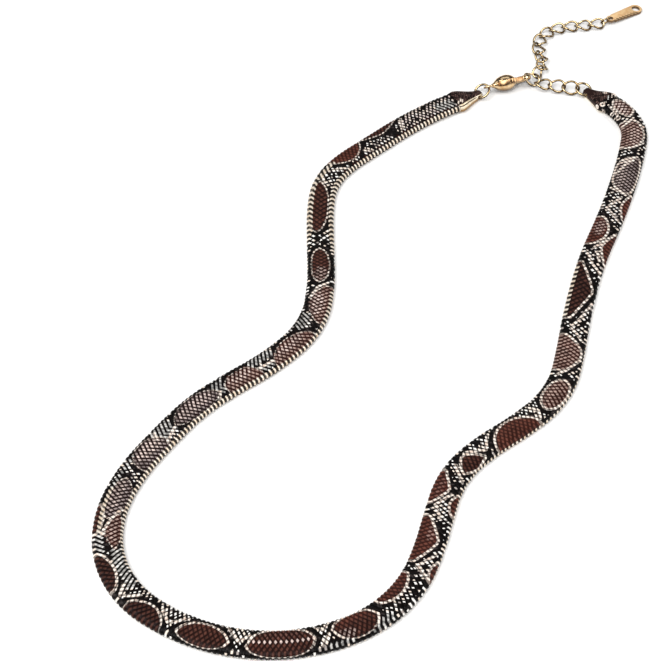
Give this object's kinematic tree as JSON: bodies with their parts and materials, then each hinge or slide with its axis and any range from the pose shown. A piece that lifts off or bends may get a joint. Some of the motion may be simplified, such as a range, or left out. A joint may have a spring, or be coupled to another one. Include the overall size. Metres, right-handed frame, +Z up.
{
  "type": "choker necklace",
  "caption": "Flat snake-chain choker with a printed band, tapered end caps, a lobster clasp, an extender chain and a drop tag, lying in an open loop.",
  "frame": {"origin": "middle of the bounding box, on the plane that the necklace lies on", "axes": "+Z up from that plane, +Y from the front of the neck loop towards the clasp, +X towards the drop tag's side"},
  "size_m": [0.122, 0.186, 0.0045],
  "materials": {
    "printed_strap": "glossy print on gold-tone metal",
    "printed_cap": "glossy print on gold-tone metal",
    "gold": "polished gold tone",
    "pale_gold": "polished pale gold tone"
  },
  "bodies": {
    "necklace": {"snake_strap": "printed_strap", "end_cap_left": "printed_cap", "end_cap_right": "printed_cap", "jump_ring_left": "pale_gold", "jump_ring_right": "pale_gold", "clasp_body": "gold", "clasp_pin": "pale_gold", "tag_ring": "pale_gold", "drop_tag": "gold", "link_01": "pale_gold", "link_02": "pale_gold", "link_03": "pale_gold", "link_04": "pale_gold", "link_05": "pale_gold", "link_06": "pale_gold", "link_07": "pale_gold", "link_08": "pale_gold", "link_09": "pale_gold", "link_10": "pale_gold", "link_11": "pale_gold", "link_12": "pale_gold", "link_13": "pale_gold", "link_14": "pale_gold"},
    "lever": {"clasp_lever": "gold"}
  },
  "joints": [
    {"name": "lever_hinge", "type": "hinge", "parent": "necklace", "child": "lever", "pos_m": [0.02564, 0.0622, 0.00251], "axis": [-0.2459, 0.7022, 0.6682], "range_deg": [0, 18], "stiffness_Nm_per_rad": 0.005, "springref_deg": -28.65}
  ]
}
